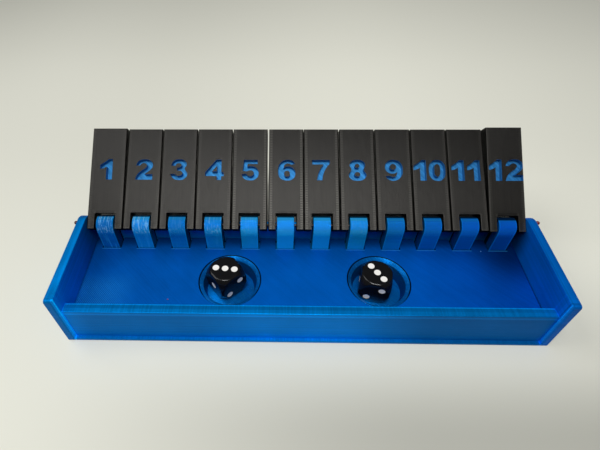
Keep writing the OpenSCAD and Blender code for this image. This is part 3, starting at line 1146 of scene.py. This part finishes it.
def digitCutter(number):
    curve = bpy.data.curves.new("digitOutline", "CURVE")
    curve.dimensions, curve.fill_mode, curve.resolution_u = "2D", "BOTH", tileFace["curveSteps"]
    depth, past = tileFace["pocketDepth"], tileFace["past"]
    curve.extrude = (depth / 2 + past) * mm
    for digit, shift in tileDigits[number]:
        for loop in digitShapes[digit]:
            spline = curve.splines.new("BEZIER")
            spline.bezier_points.add(len(loop) - 1)
            spline.use_cyclic_u = True
            for point, (x, y, kind) in zip(spline.bezier_points, loop):
                point.co = ((x + shift) * mm, (y + tileFace["baseline"]) * mm, 0.0)
                point.handle_left_type = point.handle_right_type = "VECTOR" if kind == "c" else "AUTO"
    drawn = addObject("digitOutline", curve)
    bpy.context.view_layer.update()
    mesh = bpy.data.meshes.new_from_object(drawn.evaluated_get(bpy.context.evaluated_depsgraph_get()))
    bpy.data.objects.remove(drawn)
    shape = bmesh.new()
    shape.from_mesh(mesh)
    bmesh.ops.remove_doubles(shape, verts=shape.verts, dist=2e-6)
    bmesh.ops.recalc_face_normals(shape, faces=shape.faces)
    middle = (tileFace["halfThick"] + past - depth / 2) * mm
    bmesh.ops.translate(shape, verts=shape.verts, vec=(0, 0, middle))
    setMaterial(toMesh(shape, mesh), pocketPrint)
    return addObject("digitCutter", mesh)


def bulgeSides(spot, number):  # printed sides bulge a little, outward and into the slot
    across, half = abs(spot.x), board["tileHalf"] * mm
    inSlot = across < tileFace["slotSide"] * mm
    bulge = -tileFace["slotCloser"] if inSlot else tileFace["wider"] * across / half
    spot.x += math.copysign(bulge * mm, spot.x)
    start, end = tileFace["slotEndY"]
    if inSlot and start * mm < spot.y < end * mm:
        spot.y -= tileFace["slotEndCloser"].get(number, 0.0) * mm


def cutDigits(made, number):
    cutter = digitCutter(number)
    cut = {"object": cutter, "operation": "DIFFERENCE", "solver": "EXACT", "material_mode": "TRANSFER"}
    finishMesh(made, [("BOOLEAN", cut)])
    leftOver = cutter.data
    bpy.data.objects.remove(cutter)
    bpy.data.meshes.remove(leftOver)


def ownEdge(edge):  # a sharp edge of the tile itself, not of a pocket
    own = all(f.material_index == 0 for v in edge.verts for f in v.link_faces)
    return own and edge.calc_face_angle(0) > math.radians(tileFace["edgeAngle"])


def darkenSides(mesh):  # the sides and the faces towards the ears get a darker, less glossy copy of the print: painted shade
    mesh.materials.append(tileShadedSidePrint)
    towardsEars, rising = tileFace["underSlope"]
    for face in mesh.polygons:
        under = face.normal.y < towardsEars and face.normal.z < rising
        if face.material_index == 0 and (abs(face.normal.z) < tileFace["sideSlope"] or under):
            face.material_index = len(mesh.materials) - 1


def makeTile(number):
    name, pieceName = "tile_%02d" % number, "numberTile%02d" % number
    lean = board["openAngle"] + {1: board["firstLift"], 12: board["lastLift"]}.get(number, 0)
    slide = board["slide"] if number == board["slidTile"] else 0
    x = (number - (board["tileCount"] + 1) / 2) * board["pitch"] + slide
    place = Matrix.Translation((x * mm, board["pinY"] * mm, board["pinZ"] * mm))
    place = place @ Matrix.Rotation(math.radians(lean), 4, "X")
    shape = cleanCopy(name, place.inverted())
    for vert in shape.verts:
        bulgeSides(vert.co, number)
    made = addObject(pieceName, toMesh(shape, bpy.data.meshes.new(pieceName)))
    setMaterial(made.data, tilePrint)
    cutDigits(made, number)
    softenEdges(made, ownEdge, tileFace["edge"])
    darkenSides(made.data)
    markSpots(made.data, place)
    ticks = made.data.attributes.new("ticks", "FLOAT", "POINT")
    ticks.data.foreach_set("value", [tileTicks.get(number, otherTicks)] * len(made.data.vertices))
    settle(made, name, name)
    return made


tiles = [makeTile(number) for number in range(1, board["tileCount"] + 1)]
print("tiles made:", [len(t.data.polygons) for t in tiles])


# each die stands in its cup, a little off the cup's middle
dieShape = {
    "size": 16.0,
    "ball": 10.9,
    "power": 14,
    "cells": 44,
    "pipRadius": 1.7,
    "pipOffset": 3.43,
    "pipDepth": 0.12,
    "pipSoft": 0.5,
    "left": {"cup": -1, "off": (-2.1, 1.8), "turn": 39.6},
    "right": {"cup": 1, "off": (-1.9, 0.0), "turn": -12.3},
}


def pipsOf(axis, side):  # pip centres on one face, in the two other axes
    a = dieShape["pipOffset"]
    count = {(2, 1): 3, (2, -1): 4, (1, -1): 2, (1, 1): 5, (0, -1): 1, (0, 1): 6}[(axis, side)]
    corners = [(a, a), (-a, -a), (a, -a), (-a, a)]
    return {
        1: [(0, 0)],
        2: corners[:2],
        3: [(0, 0)] + corners[2:],
        4: corners,
        5: corners + [(0, 0)],
        6: corners + [(0, a), (0, -a)],
    }[count]


def diePoint(axis, way, u, v):  # a point on the rounded body in mm, and how far it is outside a pip
    ray = [0.0, 0.0, 0.0]
    ray[axis], ray[(axis + 1) % 3], ray[(axis + 2) % 3] = float(way), u, v
    ray = Vector(ray).normalized()
    power = dieShape["power"]
    reach = dieShape["size"] / 2 / sum(abs(c) ** power for c in ray) ** (1 / power)
    point = ray * min(reach, dieShape["ball"])
    flat = [point[k] for k in range(3) if k != axis]
    away = min(math.dist(flat, pip) for pip in pipsOf(axis, way)) - dieShape["pipRadius"]
    sunk = min(max(0.5 - away / dieShape["pipSoft"], 0.0), 1.0)
    point[axis] -= way * dieShape["pipDepth"] * sunk * sunk * (3 - 2 * sunk)
    return point, away


def makeDie(side):
    name, pieceName = "die_" + side, "die" + side.capitalize()
    cells = dieShape["cells"]
    steps = [math.tan((k / cells - 0.5) * math.pi / 2) for k in range(cells + 1)]
    shape = bmesh.new()
    gap = shape.verts.layers.float.new("pipGap")
    for axis in range(3):
        for way in (-1, 1):
            grid = []
            for u in steps:
                for v in steps:
                    point, away = diePoint(axis, way, u, v)
                    grid.append(shape.verts.new(point * mm))
                    grid[-1][gap] = away
            for i in range(cells):
                for j in range(cells):
                    corner = i * (cells + 1) + j
                    after = corner + cells + 1
                    loop = [grid[corner], grid[after], grid[after + 1], grid[corner + 1]]
                    shape.faces.new(loop if way > 0 else loop[::-1])
    bmesh.ops.remove_doubles(shape, verts=shape.verts, dist=1e-6)
    mesh = toMesh(shape, bpy.data.meshes.new(pieceName))
    stand = dieShape[side]
    x = stand["cup"] * board["cupX"] + stand["off"][0]
    y = board["cupY"] + stand["off"][1]
    z = board["cupFloorZ"] + dieShape["size"] / 2
    place = Matrix.Translation((x * mm, y * mm, z * mm))
    mesh.transform(place @ Matrix.Rotation(math.radians(stand["turn"]), 4, "Z"))
    mesh.materials.append(diePlastic)
    mesh.shade_smooth()
    settle(addObject(pieceName, mesh), name, name)


for side in ("left", "right"):
    makeDie(side)
print("dice made")


# the pale floor, the light and the camera; lengths in metres, the camera's place in mm
room = {
    "floor": tint(226, 226, 213),
    "floorHalf": 3.0,
    "floorZ": -0.00005,
    "roughness": 0.9,
    "world": 0.12,
    "lamps": {
        "overLamp": {"place": (-0.05, -0.28, 0.75), "size": 0.28, "power": 4.6},
        "leftLamp": {"place": (-0.45, 0.05, 0.6), "size": 0.4, "power": 1.5},
    },
    "aim": (0.0, 0.02, 0.02),
}
view = {
    "place": (-14.507, -136.579, 207.257),
    "yaw": -2.053,
    "pitch": 46.555,
    "roll": -1.178,
    "sensor": 36.0,
    "lens": 26.491,
    "shift": (0.0569, -0.0168),
    "clip": (0.01, 10.0),
}


def makePaleFloor():
    shape = bmesh.new()
    bmesh.ops.create_grid(shape, x_segments=2, y_segments=2, size=room["floorHalf"])
    bmesh.ops.translate(shape, verts=shape.verts, vec=(0, 0, room["floorZ"]))
    mesh = toMesh(shape, bpy.data.meshes.new("paleFloor"))
    material, tree, shader = newMaterial("palePaper")
    shader.inputs["Roughness"].default_value = room["roughness"]
    # painted light towards the back and a painted shadow at the front right
    whole = slowShade(tree, scaleColor(tree, readPlace(tree), 1 / mm), paintedShading["room"])
    plug(tree, scaleColor(tree, room["floor"][:3], whole), shader.inputs["Base Color"])
    mesh.materials.append(material)
    addObject("paleFloor", mesh)


def makeLight():
    world = bpy.data.worlds.new("softWorld")
    world.use_nodes = True
    back = world.node_tree.nodes["Background"]
    back.inputs["Color"].default_value = (1.0, 1.0, 1.0, 1.0)
    back.inputs["Strength"].default_value = room["world"]
    bpy.context.scene.world = world
    for name, lampLook in room["lamps"].items():
        lamp = bpy.data.lights.new(name, "AREA")
        lamp.energy, lamp.size = lampLook["power"], lampLook["size"]
        hung = addObject(name, lamp)
        hung.location = lampLook["place"]
        toAim = Vector(room["aim"]) - Vector(lampLook["place"])
        hung.rotation_euler = toAim.to_track_quat("-Z", "Y").to_euler()


def makeCamera():
    yaw, pitch, roll = (math.radians(view[k]) for k in ("yaw", "pitch", "roll"))
    level = Vector((math.sin(yaw), math.cos(yaw), 0.0)) * math.cos(pitch)
    forward = level - Vector((0.0, 0.0, math.sin(pitch)))
    right = Vector((math.cos(yaw), -math.sin(yaw), 0.0))
    up = right.cross(forward)
    turnedRight = right * math.cos(roll) + up * math.sin(roll)
    turnedUp = up * math.cos(roll) - right * math.sin(roll)
    data = bpy.data.cameras.new("mainCamera")
    data.sensor_width, data.lens = view["sensor"], view["lens"]
    data.shift_x, data.shift_y = view["shift"]
    data.clip_start, data.clip_end = view["clip"]
    made = addObject("mainCamera", data)
    turn = Matrix((turnedRight, turnedUp, -forward)).transposed().to_4x4()
    made.matrix_world = Matrix.Translation(Vector(view["place"]) * mm) @ turn
    bpy.context.scene.camera = made


makePaleFloor()
makeLight()
makeCamera()
bpy.context.scene.view_settings.view_transform = "Standard"
